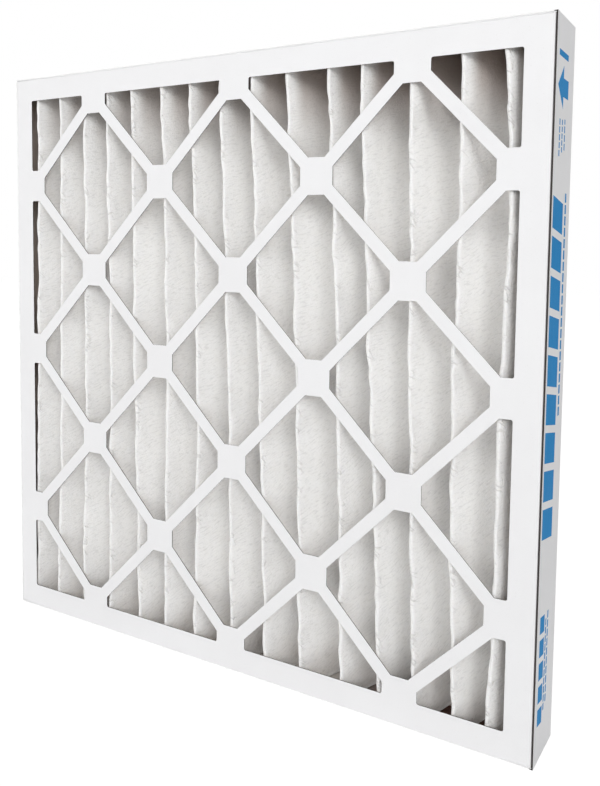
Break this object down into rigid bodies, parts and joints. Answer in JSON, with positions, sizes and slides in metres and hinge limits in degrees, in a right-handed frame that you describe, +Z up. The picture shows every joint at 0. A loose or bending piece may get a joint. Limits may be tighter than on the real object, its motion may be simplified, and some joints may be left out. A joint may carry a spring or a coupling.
{
  "type": "pleated panel air filter",
  "caption": "Square panel air filter: two telescoping die-cut paperboard trays with lattice faces hold a deep-pleated white filter medium on a wire grid.",
  "frame": {"origin": "middle of the panel's footprint on its lower edge: under the centre in width and depth, at the height of the bottom wall's outside", "axes": "+X across the panel to the viewer's right, +Y from the air-entering face to the air-leaving face, +Z up along the pleats"},
  "size_m": [0.4992, 0.0444, 0.4953],
  "materials": {
    "coated_board": "clay-coated white outside, raw grey-brown inside and at the cut edges",
    "filter_media": "fuzzy non-woven fibre, off-white",
    "galvanised_wire": "galvanised, dull",
    "glue": "set clear adhesive, through which the raw board shows brown"
  },
  "bodies": {
    "root": {"front_frame": "coated_board", "rear_frame": "coated_board", "pleated_media": "filter_media", "wire_backing": "galvanised_wire", "end_glue_top": "glue", "end_glue_bottom": "glue", "side_glue_left": "glue", "side_glue_right": "glue", "flange_glue_top": "glue", "flange_glue_bottom": "glue", "flange_glue_left": "glue", "flange_glue_right": "glue"}
  },
  "joints": []
}
